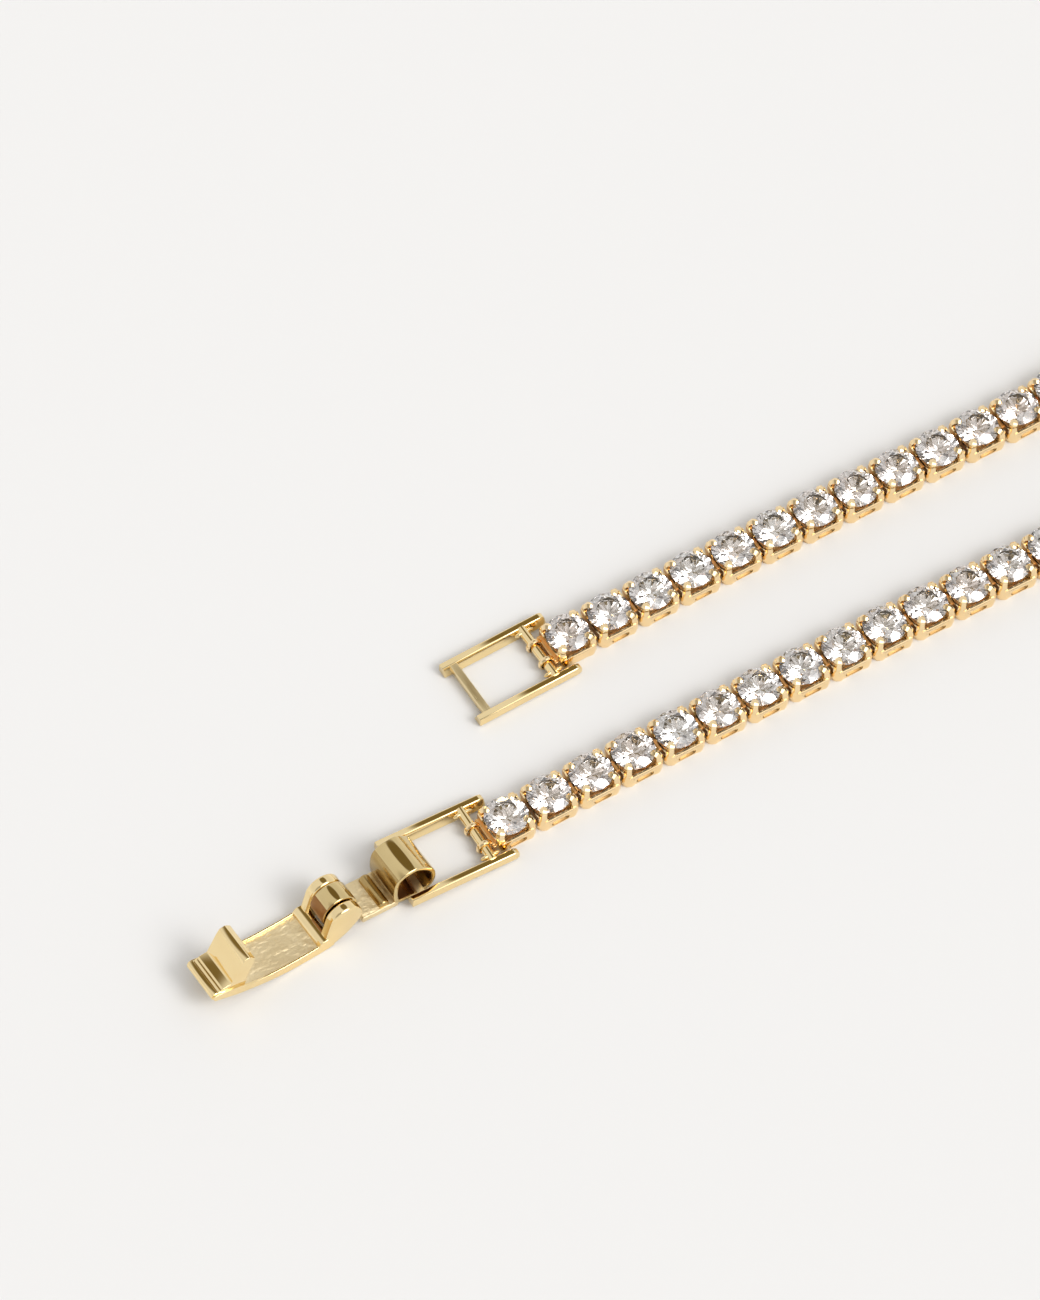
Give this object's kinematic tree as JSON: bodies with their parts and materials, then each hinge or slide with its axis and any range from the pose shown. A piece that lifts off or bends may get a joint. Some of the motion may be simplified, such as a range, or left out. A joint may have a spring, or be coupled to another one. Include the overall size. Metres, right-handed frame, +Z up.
{
  "type": "tennis necklace",
  "caption": "Tennis necklace of square claw-set stones in yellow gold, lying open in a loop, with a ladder fold-over clasp of two frames, a curled tongue and a hinged lever.",
  "frame": {"origin": "middle of the overall length and width, at the level of the surface the necklace lies on", "axes": "+X from the clasp towards the back of the loop, +Y from the hook strand towards the catch strand, +Z up, stones facing up"},
  "size_m": [0.1874, 0.087, 0.0046],
  "materials": {
    "stone_set_gold": "polished yellow gold boxes and claws with clear round brilliant stones set in them",
    "polished_gold": "polished pale yellow gold"
  },
  "bodies": {
    "chain": {"end_link_hook": "stone_set_gold", "links_hook_strand": "stone_set_gold", "links_bow_1": "stone_set_gold", "links_bow_2": "stone_set_gold", "links_bow_3": "stone_set_gold", "links_bow_4": "stone_set_gold", "links_bow_5": "stone_set_gold", "links_bow_6": "stone_set_gold", "links_catch_strand": "stone_set_gold", "end_link_catch": "stone_set_gold"},
    "catch_frame": {"catch_frame": "polished_gold"},
    "hook_frame": {"hook_frame": "polished_gold"},
    "tongue": {"clasp_tongue": "polished_gold", "hinge_pin": "polished_gold"},
    "lever": {"clasp_lever": "polished_gold"}
  },
  "joints": [
    {"name": "catch_frame_swing", "type": "hinge", "parent": "chain", "child": "catch_frame", "pos_m": [-0.05831, 0.0081, 0.00068], "axis": [-0.014, 0.9999, 0], "range_deg": [-60, 60]},
    {"name": "hook_frame_swing", "type": "hinge", "parent": "chain", "child": "hook_frame", "pos_m": [-0.0702, -0.00287, 0.00076], "axis": [0.0262, 0.9997, 0], "range_deg": [-55, 55]},
    {"name": "tongue_swing", "type": "hinge", "parent": "hook_frame", "child": "tongue", "pos_m": [-0.07605, -0.00296, 0.00093], "axis": [-0.0523, 0.9986, 0.0034], "range_deg": [-90, 12]},
    {"name": "lever_fold", "type": "hinge", "parent": "tongue", "child": "lever", "pos_m": [-0.08221, -0.00329, 0.00234], "axis": [-0.0523, 0.9986, 0.0034], "range_deg": [0, 172]}
  ]
}
